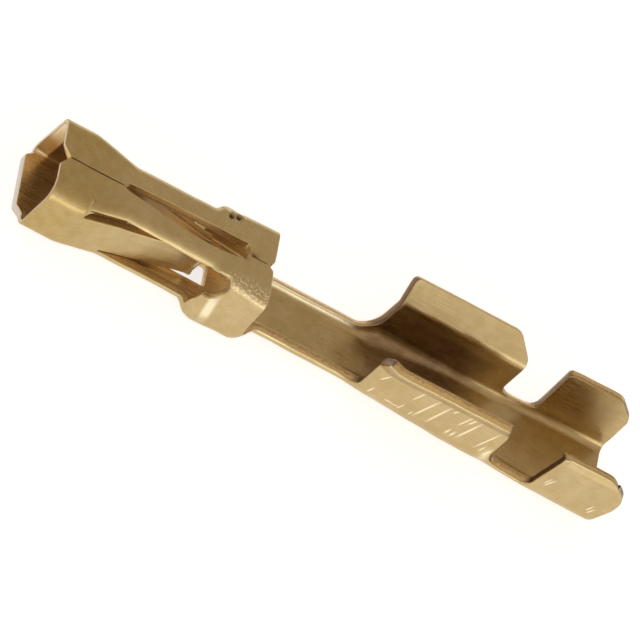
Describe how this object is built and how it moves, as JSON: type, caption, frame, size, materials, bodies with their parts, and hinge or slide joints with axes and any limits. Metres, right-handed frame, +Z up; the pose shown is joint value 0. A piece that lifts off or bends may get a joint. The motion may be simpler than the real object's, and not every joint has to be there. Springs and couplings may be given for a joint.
{
  "type": "crimp socket contact",
  "caption": "Stamped and folded socket contact with a box mouth, two spring tongues, a locking collar, an open channel, a wire crimp barrel and an insulation crimp barrel",
  "frame": {"origin": "under the middle of the contact's length and width, on the surface that its floor rests on", "axes": "+X runs along the contact from the socket's mouth to the tail, +Y across it, +Z up out of the open crimp barrels"},
  "size_m": [0.0142, 0.0026, 0.0018],
  "materials": {
    "gold_plate": "satin gold plating over stamped copper alloy"
  },
  "bodies": {
    "root": {"crimp_socket_contact": "gold_plate"}
  },
  "joints": []
}
